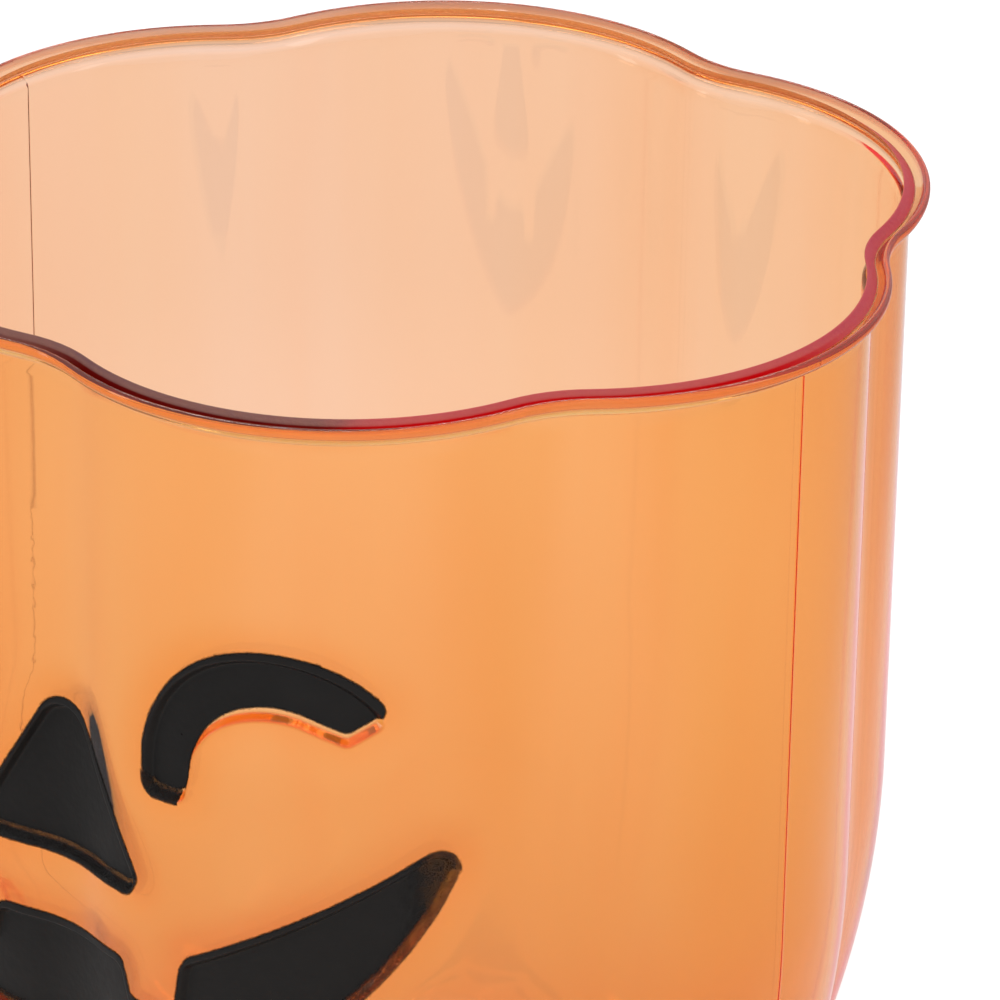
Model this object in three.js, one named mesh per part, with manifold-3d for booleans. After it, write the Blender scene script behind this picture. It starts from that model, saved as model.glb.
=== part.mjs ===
// Pumpkin party cup: a blow-moulded, see-through orange tumbler with six lobes,
// a trimmed lip, and a jack-o'-lantern face sunk into one side and painted black.
// Millimetres, +Z up, origin at the middle of the base, face toward -Y.

import * as THREE from 'three';
import { mergeVertices } from 'three/addons/utils/BufferGeometryUtils.js';
import Module from 'manifold-3d';

const wasm = await Module();
wasm.setup();

// The whole cup
const cupHeight = 100;
const wallThickness = 0.8;

// The lobed plan: six round lobes with a soft hollow between each two
const lobeCount = 6;
const crestRadius = 45;
const lobeRadius = 24.9;
const hollowRadius = 12.9;

// The lip, measured from the crest radius and down from the top
const tipInset = 1.05;
const grooveDepth = 0.7;
const lipInset = 0.06;
const lipReach = 0.88;
const lipTopDrop = 0.05;
const lipEdgeReach = 1.3;
const lipEdgeDrop = 0.45;
const lipEdgeHeight = 0.3;
const lipUndersideDrop = 2.2;

// The wall between the lip and the bowl
const wallInset = 0.45;
const wallTaper = 0.3;
const straightWall = 54;

// The bowl, the heel and the base
const heelRadius = 14;
const footRadius = 22.5;
const footWidth = 3;
const pushUp = 5;
const lobeFadeHeight = 22;

// The mould's parting seam up both sides, and the pinched weld under the base
const seamWidth = 0.5;
const seamHeight = 0.12;
const seamFootHeight = 3.5;
const weldLength = 26;
const weldWidth = 1.2;
const weldHeight = 0.6;

// The sunk face panels and their paint
const panelDepth = 0.8;
const panelBevel = 0.75;
const paintGap = 0.25;
const paintThickness = 0.25;

// Face outlines on the unrolled wall: x from the face's middle, drops from the cup's top
const eyeCentre = 21.9;
const eyeBaseline = 34;
const eyeRise = 12.35;
const eyeInnerReach = 10.9;
const eyeOuterReach = 12.1;
const eyeLegWidth = 3.9;
const eyeLegDrop = 1.4;
const eyeLegRadius = 0.8;
const eyeHollowCentre = 22.4;
const eyeHollowDrop = 33.6;
const eyeHollowRadius = 7;
const eyeHollowEnd = 72;
const eyeCutAngle = 38.5;
const eyeCutAcross = 2.7;
const eyeCutDown = 1.9;
const eyeTipRadius = 0.4;
const eyeTipRun = 1.5;
const noseTopDrop = 29.3;
const noseHeight = 16.1;
const noseHalfWidth = 9.9;
const noseTopRadius = 2.6;
const noseCornerRadius = 0.9;
const mouthBottomDrop = 63.85;
const mouthRadius = 42.6;
const mouthOpening = 11.35;
const mouthRoofHalf = 7;
const mouthTipRadius = 1.6;
const mouthTipRun = 6.4;
const toothWidth = 5.8;
const toothLength = 3.9;
const toothSplay = 1;
const toothRadius = 0.8;
const armOpening = 13.15;
const armRise = 28.6;

// How finely the curves are cut
const columnsPerLobe = 14;
const lipSteps = 3;
const undersideSteps = 2;
const bowlSteps = 5;
const heelSteps = 4;
const domeSteps = 2;
const weldSteps = 6;
const curveSegments = 2;
const arcStep = 4;
const facetWidth = 4;
const plugOverlap = 0.4;
const shortest = 0.05;
const unrollStep = Math.PI / 720;
const probe = 0.01;

const plastic = new THREE.MeshStandardMaterial({ color: 0xf28a2e, roughness: 0.12, metalness: 0 });
const paint = new THREE.MeshStandardMaterial({ color: 0x1e1a18, roughness: 0.45, metalness: 0 });

// Plan shape: how far the wall lies inside its crest circle at an angle from a hollow,
// as a share of the crest radius. Lobes and hollows are arcs that meet on a tangent.
const sector = Math.PI / lobeCount;
const lobeCentre = crestRadius - lobeRadius;
const hollowCentre = lobeCentre * Math.cos(sector)
  + Math.sqrt((lobeRadius + hollowRadius) ** 2 - (lobeCentre * Math.sin(sector)) ** 2);
const tangentShare = hollowRadius / (lobeRadius + hollowRadius);
const tangentX = hollowCentre + (lobeCentre * Math.cos(sector) - hollowCentre) * tangentShare;
const tangentY = lobeCentre * Math.sin(sector) * tangentShare;
const tangentAngle = Math.atan2(tangentY, tangentX);

function notch(angle) {
  const turn = 2 * sector;
  const fromHollow = Math.abs(angle - turn * Math.round(angle / turn));
  if (fromHollow < tangentAngle) {
    const across = hollowCentre * Math.sin(fromHollow);
    const radius = hollowCentre * Math.cos(fromHollow) - Math.sqrt(hollowRadius ** 2 - across ** 2);
    return 1 - radius / crestRadius;
  }
  const fromCrest = sector - fromHollow;
  const across = lobeCentre * Math.sin(fromCrest);
  const radius = lobeCentre * Math.cos(fromCrest) + Math.sqrt(lobeRadius ** 2 - across ** 2);
  return 1 - radius / crestRadius;
}

// Side profile: the straight wall runs on a tangent into the bowl's arc, the bowl's arc
// into the heel's, and the heel's ends flat on the foot ring.
const wallTopRadius = crestRadius - wallInset;
const wallFootRadius = wallTopRadius - wallTaper;
const wallTopHeight = cupHeight - lipUndersideDrop;
const wallFootHeight = cupHeight - straightWall;
const inward = wallFootRadius - footRadius;
const downward = wallFootHeight - heelRadius;
const bowlRadius = (inward ** 2 + downward ** 2 - heelRadius ** 2) / (2 * (inward - heelRadius));
const heelAngle = Math.asin(downward / (bowlRadius - heelRadius));
const domeChord = footRadius - footWidth;
const domeRadius = (domeChord ** 2 + pushUp ** 2) / (2 * pushUp);
const domeCentre = pushUp - domeRadius;

function lobeStrength(height) {
  return THREE.MathUtils.smoothstep(height, 0, lobeFadeHeight);
}

function crestAt(height) {
  if (height >= wallFootHeight) {
    const share = (height - wallFootHeight) / (wallTopHeight - wallFootHeight);
    return THREE.MathUtils.lerp(wallFootRadius, wallTopRadius, share);
  }
  const drop = wallFootHeight - height;
  if (drop < bowlRadius * Math.sin(heelAngle)) {
    return wallFootRadius - bowlRadius + Math.sqrt(bowlRadius ** 2 - drop ** 2);
  }
  return footRadius + Math.sqrt(Math.max(0, heelRadius ** 2 - (heelRadius - height) ** 2));
}

function wallPoint(angle, height) {
  const radius = crestAt(height) * (1 - lobeStrength(height) * notch(angle));
  return new THREE.Vector3(radius * Math.sin(angle), -radius * Math.cos(angle), height);
}

// One skin of the shell as rows of { radius, height, strength }, from the wall's top down
// to the middle of the base. A skin set in by a thickness is the same arcs, made parallel.
function skinRows(inset) {
  const rows = [];
  const add = (radius, height) => {
    rows.push({ radius, height, strength: lobeStrength(height - inset) });
  };
  add(wallTopRadius - inset, wallTopHeight);
  for (let i = 0; i <= bowlSteps; i++) {
    const a = heelAngle * i / bowlSteps;
    const arc = bowlRadius - inset;
    add(wallFootRadius - bowlRadius + arc * Math.cos(a), wallFootHeight - arc * Math.sin(a));
  }
  for (let i = 1; i <= heelSteps; i++) {
    const a = THREE.MathUtils.lerp(heelAngle, Math.PI / 2, i / heelSteps);
    const arc = heelRadius - inset;
    add(footRadius + arc * Math.cos(a), heelRadius - arc * Math.sin(a));
  }
  const dome = domeRadius + inset;
  const rimAngle = Math.acos((inset - domeCentre) / dome);
  for (let i = 0; i <= domeSteps; i++) {
    const a = rimAngle * (1 - i / domeSteps);
    add(dome * Math.sin(a), domeCentre + dome * Math.cos(a));
  }
  return rows;
}

// The lip: a sloping trimmed face, then the moulded edge that flares up and out round it.
function lipRows() {
  const at = (reach, drop) => ({ radius: crestRadius + reach, height: cupHeight - drop, strength: 1 });
  const roll = new THREE.QuadraticBezierCurve(
    new THREE.Vector2(lipReach, lipTopDrop),
    new THREE.Vector2(lipEdgeReach, lipTopDrop),
    new THREE.Vector2(lipEdgeReach, lipEdgeDrop),
  );
  const underside = new THREE.QuadraticBezierCurve(
    new THREE.Vector2(lipEdgeReach, lipEdgeDrop + lipEdgeHeight),
    new THREE.Vector2(0, lipUndersideDrop),
    new THREE.Vector2(-wallInset, lipUndersideDrop),
  );
  return [
    at(-tipInset, 0),
    at(-lipInset, grooveDepth),
    ...roll.getPoints(lipSteps).map((p) => at(p.x, p.y)),
    ...underside.getPoints(undersideSteps).slice(0, -1).map((p) => at(p.x, p.y)),
  ];
}

// Angles of the shell's columns, with the seam's extra ones at both sides
function columnAngles() {
  const count = lobeCount * columnsPerLobe;
  const angles = [];
  for (let i = 0; i < count; i++) angles.push({ angle: 2 * Math.PI * i / count, seam: false });
  const half = seamWidth / 2 / crestRadius;
  for (const side of [Math.PI / 2, 3 * Math.PI / 2]) {
    const near = angles.filter((c) => Math.abs(c.angle - side) < half / 2);
    for (const column of near) angles.splice(angles.indexOf(column), 1);
    angles.push({ angle: side - half, seam: false });
    angles.push({ angle: side, seam: true });
    angles.push({ angle: side + half, seam: false });
  }
  return angles.sort((a, b) => a.angle - b.angle);
}

// Joins rows of points into a closed skin. The last point of each end row is a pole.
function shellGeometry() {
  const columns = columnAngles();
  const outside = [...lipRows(), ...skinRows(0)];
  const inside = skinRows(wallThickness);
  const rows = [...inside.reverse(), ...outside];
  const positions = [];
  const faces = [];
  rows.forEach((row, index) => {
    if (index === 0 || index === rows.length - 1) {
      positions.push(0, 0, row.height);
      return;
    }
    const outer = index > inside.length + 1;
    const onWall = outer && row.height < cupHeight && row.height > seamFootHeight;
    for (const { angle, seam } of columns) {
      const proud = seam && onWall ? seamHeight : 0;
      const radius = row.radius * (1 - row.strength * notch(angle)) + proud;
      positions.push(radius * Math.sin(angle), -radius * Math.cos(angle), row.height);
    }
  });
  const start = (index) => 1 + (index - 1) * columns.length;
  const last = rows.length - 1;
  const end = positions.length / 3 - 1;
  for (let c = 0; c < columns.length; c++) {
    const next = (c + 1) % columns.length;
    faces.push(0, start(1) + c, start(1) + next);
    for (let r = 1; r < last - 1; r++) {
      const a = start(r) + c;
      const b = start(r) + next;
      const d = start(r + 1) + c;
      const e = start(r + 1) + next;
      faces.push(a, d, b, b, d, e);
    }
    faces.push(end, start(last - 1) + next, start(last - 1) + c);
  }
  const geometry = new THREE.BufferGeometry();
  geometry.setAttribute('position', new THREE.Float32BufferAttribute(positions, 3));
  geometry.setIndex(faces);
  return geometry;
}

// Unrolled wall: the angle that lies at a distance along the wall from the face's middle
const mouthRoofDrop = mouthBottomDrop - mouthOpening;
const unrollHeight = cupHeight - (eyeBaseline + mouthRoofDrop) / 2;
const unrolled = [0];
for (let i = 1; i * unrollStep <= Math.PI; i++) {
  const from = wallPoint((i - 1) * unrollStep, unrollHeight);
  const to = wallPoint(i * unrollStep, unrollHeight);
  unrolled.push(unrolled[i - 1] + from.distanceTo(to));
}

function angleAt(distance) {
  const reach = Math.abs(distance);
  let i = 1;
  while (i < unrolled.length - 1 && unrolled[i] < reach) i++;
  const share = (reach - unrolled[i - 1]) / (unrolled[i] - unrolled[i - 1]);
  return Math.sign(distance) * (i - 1 + share) * unrollStep;
}

// A point at a distance along the wall, a drop from the top and a lift off the wall
function onFace(distance, drop, lift) {
  const angle = angleAt(distance);
  const height = cupHeight - drop;
  const point = wallPoint(angle, height);
  const along = wallPoint(angle + probe, height).sub(wallPoint(angle - probe, height));
  const up = wallPoint(angle, height + probe).sub(wallPoint(angle, height - probe));
  const normal = along.cross(up).normalize();
  return point.addScaledVector(normal, lift);
}

// A closed outline from corners [x, y, radius]: an arc rounds each corner that has a radius
function roundedShape(corners) {
  const shape = new THREE.Shape();
  const count = corners.length;
  corners.forEach(([x, y, radius], i) => {
    if (!radius) {
      if (i === 0) shape.moveTo(x, y);
      else shape.lineTo(x, y);
      return;
    }
    const here = new THREE.Vector2(x, y);
    const [beforeX, beforeY] = corners[(i + count - 1) % count];
    const [afterX, afterY] = corners[(i + 1) % count];
    const before = new THREE.Vector2(beforeX, beforeY).sub(here).normalize();
    const after = new THREE.Vector2(afterX, afterY).sub(here).normalize();
    const half = Math.acos(THREE.MathUtils.clamp(before.dot(after), -1, 1)) / 2;
    const toCentre = before.clone().add(after).normalize().multiplyScalar(radius / Math.sin(half));
    const centre = here.clone().add(toCentre);
    const first = here.clone().addScaledVector(before, radius / Math.tan(half)).sub(centre);
    const second = here.clone().addScaledVector(after, radius / Math.tan(half)).sub(centre);
    const leftTurn = before.cross(after) < 0;
    shape.absarc(centre.x, centre.y, radius, first.angle(), second.angle(), !leftTurn);
  });
  return shape;
}

// Plain corners along an arc of an ellipse, from one angle to another
function arcCorners(centreX, centreY, radiusX, radiusY, from, to) {
  const steps = Math.ceil(Math.abs(to - from) * Math.max(radiusX, radiusY) / arcStep);
  return Array.from({ length: steps + 1 }, (_, i) => {
    const angle = THREE.MathUtils.lerp(from, to, i / steps);
    return [centreX + radiusX * Math.cos(angle), centreY + radiusY * Math.sin(angle), 0];
  });
}

// The outlines of the sunk floors, with x along the wall and y up from the top edge
function noseShape() {
  return roundedShape([
    [0, -noseTopDrop, noseTopRadius],
    [-noseHalfWidth, -noseTopDrop - noseHeight, noseCornerRadius],
    [noseHalfWidth, -noseTopDrop - noseHeight, noseCornerRadius],
  ]);
}

// An arched eye: a long leg beside the nose, a slanting cut at the outer end
function eyeShape() {
  const legLeft = eyeCentre - eyeInnerReach;
  const legBottom = -eyeBaseline - eyeLegDrop;
  const cut = THREE.MathUtils.degToRad(eyeCutAngle);
  const brow = [eyeCentre + eyeOuterReach * Math.cos(cut), -eyeBaseline + eyeRise * Math.sin(cut)];
  const hollowEnd = THREE.MathUtils.degToRad(eyeHollowEnd);
  const archStart = cut + eyeTipRun / eyeOuterReach;
  return roundedShape([
    [...brow, eyeTipRadius],
    ...arcCorners(eyeCentre, -eyeBaseline, eyeOuterReach, eyeRise, archStart, Math.PI / 2),
    ...arcCorners(eyeCentre, -eyeBaseline, eyeInnerReach, eyeRise, Math.PI / 2, Math.PI).slice(1),
    [legLeft, legBottom, eyeLegRadius],
    [legLeft + eyeLegWidth, legBottom, eyeLegRadius],
    ...arcCorners(eyeHollowCentre, -eyeHollowDrop, eyeHollowRadius, eyeHollowRadius, Math.PI, hollowEnd),
    [brow[0] - eyeCutAcross, brow[1] - eyeCutDown, eyeTipRadius],
  ]);
}

// A grin with two upper teeth: straight arms rise to the tips, and one arc is the lower lip
function mouthShape() {
  const slope = Math.tan(THREE.MathUtils.degToRad(armRise));
  const toothLeft = mouthRoofHalf + toothSplay;
  const toothRight = toothLeft + toothWidth;
  const toothBottom = -mouthRoofDrop - toothLength;
  const centreDrop = mouthBottomDrop - mouthRadius;
  const armFoot = [toothRight + toothSplay, armOpening - mouthBottomDrop];
  const lift = centreDrop + armFoot[1] - armFoot[0] * slope;
  const square = 1 + slope ** 2;
  const tipX = (Math.sqrt(square * mouthRadius ** 2 - lift ** 2) - slope * lift) / square;
  const tipY = armFoot[1] + (tipX - armFoot[0]) * slope;
  const tipAngle = Math.atan2(tipY + centreDrop, tipX);
  const clearOfTip = mouthTipRun / mouthRadius;
  const rightTop = [
    [tipX, tipY, mouthTipRadius],
    [...armFoot, toothRadius],
    [toothRight, toothBottom, toothRadius],
    [toothLeft, toothBottom, toothRadius],
    [mouthRoofHalf, -mouthRoofDrop, toothRadius],
  ];
  const leftTop = rightTop.map(([x, y, radius]) => [-x, y, radius]).reverse();
  const lowerLip = arcCorners(
    0, -centreDrop, mouthRadius, mouthRadius,
    -Math.PI - tipAngle + clearOfTip, tipAngle - clearOfTip,
  );
  return roundedShape([...lowerLip, ...rightTop, ...leftTop]);
}

// An outline as two chains of points that run side by side from its left end to its right,
// with a point on each at every facet width, so that the solid can bend round the wall.
function sideChains(shape) {
  const apart = (p, i, all) => p.distanceTo(all[(i + 1) % all.length]) > shortest;
  const points = shape.getPoints(curveSegments).filter(apart);
  const left = points.reduce((best, p, i) => (p.x < points[best].x ? i : best), 0);
  const turned = [...points.slice(left), ...points.slice(0, left)];
  const right = turned.reduce((best, p, i) => (p.x > turned[best].x ? i : best), 0);
  const lower = turned.slice(0, right + 1);
  const upper = [turned[0], ...turned.slice(right).reverse()];
  return [lower, upper].map((chain) => chain.flatMap((to, i) => {
    if (i === 0) return [to];
    const from = chain[i - 1];
    const added = [];
    for (let n = Math.ceil(from.x / facetWidth); n * facetWidth < to.x - shortest; n++) {
      const share = (n * facetWidth - from.x) / (to.x - from.x);
      if (n * facetWidth > from.x + shortest) added.push(from.clone().lerp(to, share));
    }
    return [...added, to];
  }));
}

// An outline moved outward by a distance, square to its edges
function grown(points, distance) {
  const outward = (from, to) => new THREE.Vector2(to.y - from.y, from.x - to.x).normalize();
  return points.map((p, i) => {
    const before = points[(i + points.length - 1) % points.length];
    const after = points[(i + 1) % points.length];
    const both = outward(before, p).add(outward(p, after));
    return p.clone().addScaledVector(both, 2 * distance / both.lengthSq());
  });
}

// A closed solid that lies along the wall. Each level has a lift off the wall and a growth
// of the outline there. A side of -1 makes the mirror image.
function wrapped(shape, levels, side) {
  const [lower, upper] = sideChains(shape);
  const ring = [...lower, ...upper.slice(1, -1).reverse()];
  const count = ring.length;
  const positions = levels.flatMap(({ lift, growth }) => (
    grown(ring, growth).flatMap((p) => onFace(side * p.x, -p.y, lift).toArray())
  ));
  const faces = [];
  const face = (a, b, c) => faces.push(...(side > 0 ? [a, b, c] : [a, c, b]));
  const top = (levels.length - 1) * count;
  const cap = (a, b, c) => {
    if (a === b || b === c || c === a) return;
    face(top + a, top + b, top + c);
    face(a, c, b);
  };
  const onUpper = (j) => (count - j) % count;
  let i = 0;
  let j = 0;
  while (i < lower.length - 1 || j < upper.length - 1) {
    const lowerNext = j === upper.length - 1
      || (i < lower.length - 1 && lower[i + 1].x <= upper[j + 1].x);
    if (lowerNext) {
      cap(i, i + 1, onUpper(j));
      i++;
    } else {
      cap(i, onUpper(j + 1), onUpper(j));
      j++;
    }
  }
  for (let level = 0; level < top; level += count) {
    for (let k = 0; k < count; k++) {
      const next = (k + 1) % count;
      face(level + k, level + next, level + count + next);
      face(level + k, level + count + next, level + count + k);
    }
  }
  const geometry = new THREE.BufferGeometry();
  geometry.setAttribute('position', new THREE.Float32BufferAttribute(positions, 3));
  geometry.setIndex(faces);
  return geometry;
}

// A plug with a bevelled floor: it sinks a panel outside, and swells it out inside
function panelPlug(shape, side, floor) {
  const rise = panelDepth + plugOverlap;
  return wrapped(shape, [
    { lift: floor, growth: 0 },
    { lift: floor + rise, growth: panelBevel * rise / panelDepth },
    { lift: floor + rise + plugOverlap, growth: 0 },
  ], side);
}

function paintFilm(shape, side) {
  const floor = paintGap - panelDepth;
  return wrapped(shape, [
    { lift: floor, growth: 0 },
    { lift: floor + paintThickness, growth: 0 },
  ], side);
}

// The pinched weld: a low rib that follows the pushed-up base from side to side
function weldGeometry() {
  const reach = Math.asin(weldLength / 2 / domeRadius);
  const above = domeRadius + wallThickness / 2;
  const below = domeRadius - weldHeight;
  const shape = new THREE.Shape();
  shape.absarc(0, domeCentre, above, Math.PI / 2 - reach, Math.PI / 2 + reach, false);
  shape.absarc(0, domeCentre, below, Math.PI / 2 + reach, Math.PI / 2 - reach, true);
  const rib = new THREE.ExtrudeGeometry(shape, {
    depth: weldWidth,
    bevelEnabled: false,
    curveSegments: weldSteps,
  });
  rib.translate(0, 0, -weldWidth / 2);
  rib.rotateX(Math.PI / 2);
  rib.deleteAttribute('normal');
  rib.deleteAttribute('uv');
  return mergeVertices(rib);
}

function toSolid(geometry) {
  return new wasm.Manifold(new wasm.Mesh({
    numProp: 3,
    vertProperties: new Float32Array(geometry.getAttribute('position').array),
    triVerts: new Uint32Array(geometry.getIndex().array),
  }));
}

function toGeometry(solid) {
  const { vertProperties, triVerts } = solid.getMesh();
  const geometry = new THREE.BufferGeometry();
  geometry.setAttribute('position', new THREE.BufferAttribute(vertProperties, 3));
  geometry.setIndex(new THREE.BufferAttribute(triVerts, 1));
  geometry.computeVertexNormals();
  return geometry;
}

const features = [
  { name: 'right_eye_paint', shape: eyeShape(), side: 1 },
  { name: 'left_eye_paint', shape: eyeShape(), side: -1 },
  { name: 'nose_paint', shape: noseShape(), side: 1 },
  { name: 'mouth_paint', shape: mouthShape(), side: 1 },
];

// The shell is one moulding: each panel's inner swelling is joined on, then its outer
// hollow is cut, so the wall keeps its thickness through the panel.
function cupBody() {
  let body = toSolid(shellGeometry()).add(toSolid(weldGeometry()));
  for (const { shape, side } of features) {
    body = body.add(toSolid(panelPlug(shape, side, -panelDepth - wallThickness)));
  }
  for (const { shape, side } of features) {
    body = body.subtract(toSolid(panelPlug(shape, side, -panelDepth)));
  }
  return toGeometry(body);
}

function named(name, geometry, material) {
  const mesh = new THREE.Mesh(geometry, material);
  mesh.name = name;
  return mesh;
}

const cup = new THREE.Group();
cup.add(named('cup_body', cupBody(), plastic));
for (const { name, shape, side } of features) {
  const film = paintFilm(shape, side);
  film.computeVertexNormals();
  cup.add(named(name, film, paint));
}

export default cup;
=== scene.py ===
import math

import bpy
import numpy as np
from mathutils import Matrix, Vector
from mathutils.geometry import delaunay_2d_cdt


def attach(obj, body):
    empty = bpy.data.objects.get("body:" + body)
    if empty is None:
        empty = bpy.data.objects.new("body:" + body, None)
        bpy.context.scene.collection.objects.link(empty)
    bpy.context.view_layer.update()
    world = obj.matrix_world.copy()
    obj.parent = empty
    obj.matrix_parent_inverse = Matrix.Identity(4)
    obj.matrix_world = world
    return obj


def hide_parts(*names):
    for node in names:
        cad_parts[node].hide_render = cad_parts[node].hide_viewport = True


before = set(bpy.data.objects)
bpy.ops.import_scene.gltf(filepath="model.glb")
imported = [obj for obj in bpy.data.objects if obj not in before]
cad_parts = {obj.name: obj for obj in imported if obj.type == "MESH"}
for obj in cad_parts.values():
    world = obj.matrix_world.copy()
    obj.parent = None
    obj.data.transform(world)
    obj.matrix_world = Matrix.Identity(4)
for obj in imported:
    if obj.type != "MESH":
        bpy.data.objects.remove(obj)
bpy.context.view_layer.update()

# The cup: one blow-moulded shell of clear plastic dyed orange, with six lobes, a flared
# lip round the trimmed mouth, and a face sunk into one side. It is blown in a two-part
# mould, which leaves a seam up both sides and a pinched weld under the base.
MM = 0.001
CUP_HEIGHT = 100.0
WALL_THICKNESS = 0.8
LOBE_COUNT = 6
CREST_RADIUS = 45.0
LOBE_RADIUS = 24.9
HOLLOW_RADIUS = 12.9
WALL_INSET = 0.45
WALL_TAPER = 0.3
WALL_TOP = 97.8
WALL_FOOT = 46.0
HEEL_RADIUS = 14.0
FOOT_RADIUS = 22.5
FOOT_WIDTH = 3.0
PUSH_UP = 5.0
LOBE_FADE_HEIGHT = 22.0


def plan_notch(angle):
    """How far the wall lies inside its crest circle, as a share of the crest radius."""
    sector = math.pi / LOBE_COUNT
    lobe_centre = CREST_RADIUS - LOBE_RADIUS
    reach = LOBE_RADIUS + HOLLOW_RADIUS
    sideways = lobe_centre * math.sin(sector)
    hollow_centre = lobe_centre * math.cos(sector) + math.sqrt(reach**2 - sideways**2)
    share = HOLLOW_RADIUS / reach
    tangent_x = hollow_centre + (lobe_centre * math.cos(sector) - hollow_centre) * share
    tangent_angle = math.atan2(sideways * share, tangent_x)
    turn = 2 * sector
    from_hollow = np.abs(angle - turn * np.round(angle / turn))
    across = hollow_centre * np.sin(from_hollow)
    depth = np.sqrt(np.maximum(HOLLOW_RADIUS**2 - across**2, 0))
    in_hollow = hollow_centre * np.cos(from_hollow) - depth
    from_crest = sector - from_hollow
    across = lobe_centre * np.sin(from_crest)
    on_lobe = lobe_centre * np.cos(from_crest) + np.sqrt(LOBE_RADIUS**2 - across**2)
    return 1 - np.where(from_hollow < tangent_angle, in_hollow, on_lobe) / CREST_RADIUS


def smooth(value, low, high):
    share = np.clip((value - low) / (high - low), 0, 1)
    return share * share * (3 - 2 * share)


wall_foot_radius = CREST_RADIUS - WALL_INSET - WALL_TAPER
inward = wall_foot_radius - FOOT_RADIUS
downward = WALL_FOOT - HEEL_RADIUS
bowl_radius = (inward**2 + downward**2 - HEEL_RADIUS**2) / (2 * (inward - HEEL_RADIUS))
heel_angle = math.asin(downward / (bowl_radius - HEEL_RADIUS))
dome_edge = FOOT_RADIUS - FOOT_WIDTH
dome_radius = (dome_edge**2 + PUSH_UP**2) / (2 * PUSH_UP)
dome_centre = PUSH_UP - dome_radius


def crest_at(height, inset):
    """The crest's radius at a height, on the outer skin or on one set in by a thickness."""
    share = (height - WALL_FOOT) / (WALL_TOP - WALL_FOOT)
    wall = wall_foot_radius + WALL_TAPER * share - inset
    drop = np.maximum(WALL_FOOT - height, 0)
    arc = bowl_radius - inset
    bowl = wall_foot_radius - bowl_radius + np.sqrt(np.maximum(arc**2 - drop**2, 0))
    arc = HEEL_RADIUS - inset
    heel = FOOT_RADIUS + np.sqrt(np.maximum(arc**2 - (HEEL_RADIUS - height) ** 2, 0))
    on_bowl = drop < (bowl_radius - inset) * math.sin(heel_angle)
    return np.where(height >= WALL_FOOT, wall, np.where(on_bowl, bowl, heel))


def skin_point(angle, height, inset=0.0):
    """A point of a skin, from its angle round the cup and its height, in millimetres."""
    strength = smooth(height - inset, 0, LOBE_FADE_HEIGHT)
    radius = crest_at(height, inset) * (1 - strength * plan_notch(angle))
    return np.stack([radius * np.sin(angle), -radius * np.cos(angle), height + 0 * angle], -1)


def skin_normal(angle, height, inset=0.0):
    turn = 0.002
    rise = 0.05
    along = skin_point(angle + turn, height, inset) - skin_point(angle - turn, height, inset)
    up = skin_point(angle, height + rise, inset) - skin_point(angle, height - rise, inset)
    normal = np.cross(along, up)
    return normal / np.linalg.norm(normal, axis=-1, keepdims=True)


def inner_inset(angle, height):
    """The wall's thickness, measured inward along a radius. Blown walls vary a little."""
    turn = 0.002
    slope = (plan_notch(angle + turn) - plan_notch(angle - turn)) / (2 * turn)
    strength = smooth(height, 0, LOBE_FADE_HEIGHT)
    slant = np.sqrt(1 + (strength * slope / (1 - strength * plan_notch(angle))) ** 2)
    waves = 0.05 * np.sin(2 * angle + 0.7) + 0.035 * np.sin(5 * angle + height / 19)
    waves = waves + 0.02 * np.sin(11 * angle - height / 31) + 0.03 * np.sin(height / 14 + 2)
    waves = waves + 0.012 * np.sin(23 * angle + 1.3 * np.sin(height / 26))
    return WALL_THICKNESS * slant * (1 + waves * smooth(height, 6, 20))


# The unrolled wall: distances round it from the middle of the face
table_angles = np.linspace(0, math.pi, 1441)
UNROLL_HEIGHT = 56.75
table_points = skin_point(table_angles, np.full_like(table_angles, UNROLL_HEIGHT))
table_steps = np.linalg.norm(np.diff(table_points, axis=0), axis=1)
table_distances = np.concatenate([[0], np.cumsum(table_steps)])
half_way_round = table_distances[-1]


def angle_at(distance):
    return np.sign(distance) * np.interp(np.abs(distance), table_distances, table_angles)


def distance_at(angle):
    return np.sign(angle) * np.interp(np.abs(angle), table_angles, table_distances)


# The face's outlines on the unrolled wall: x from the face's middle, y from the mouth down
def rounded_outline(corners, step=0.3):
    """A closed line through corners (x, y, radius), with a point at least every step."""
    line = []
    count = len(corners)
    for index, (x, y, radius) in enumerate(corners):
        here = np.array([x, y])
        before = np.array(corners[index - 1][:2]) - here
        after = np.array(corners[(index + 1) % count][:2]) - here
        before = before / np.linalg.norm(before)
        after = after / np.linalg.norm(after)
        if not radius:
            line.append(here)
            continue
        half = math.acos(np.clip(before @ after, -1, 1)) / 2
        middle = (before + after) / np.linalg.norm(before + after)
        centre = here + middle * radius / math.sin(half)
        first = here + before * radius / math.tan(half) - centre
        second = here + after * radius / math.tan(half) - centre
        start = math.atan2(first[1], first[0])
        sweep = math.atan2(second[1], second[0]) - start
        sweep = (sweep + math.pi) % (2 * math.pi) - math.pi
        steps = max(3, math.ceil(abs(sweep) * radius / (step / 2)))
        for turn in start + sweep * np.linspace(0, 1, steps + 1):
            line.append(centre + radius * np.array([math.cos(turn), math.sin(turn)]))
    dense = []
    for here, after in zip(line, line[1:] + line[:1]):
        pieces = max(1, math.ceil(np.linalg.norm(after - here) / step))
        dense.extend(here + (after - here) * n / pieces for n in range(pieces))
    return np.array(dense)


def ellipse_corners(centre, radii, start, end, step=0.3):
    steps = math.ceil(abs(end - start) * max(radii) / step)
    turns = np.linspace(start, end, steps + 1)
    return [
        (centre[0] + radii[0] * math.cos(t), centre[1] + radii[1] * math.sin(t), 0)
        for t in turns
    ]


NOSE_TOP = -30.7
NOSE_HEIGHT = 15.5
NOSE_HALF_WIDTH = 9.3
NOSE_TOP_RADIUS = 2.6
NOSE_CORNER_RADIUS = 0.9


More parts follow.
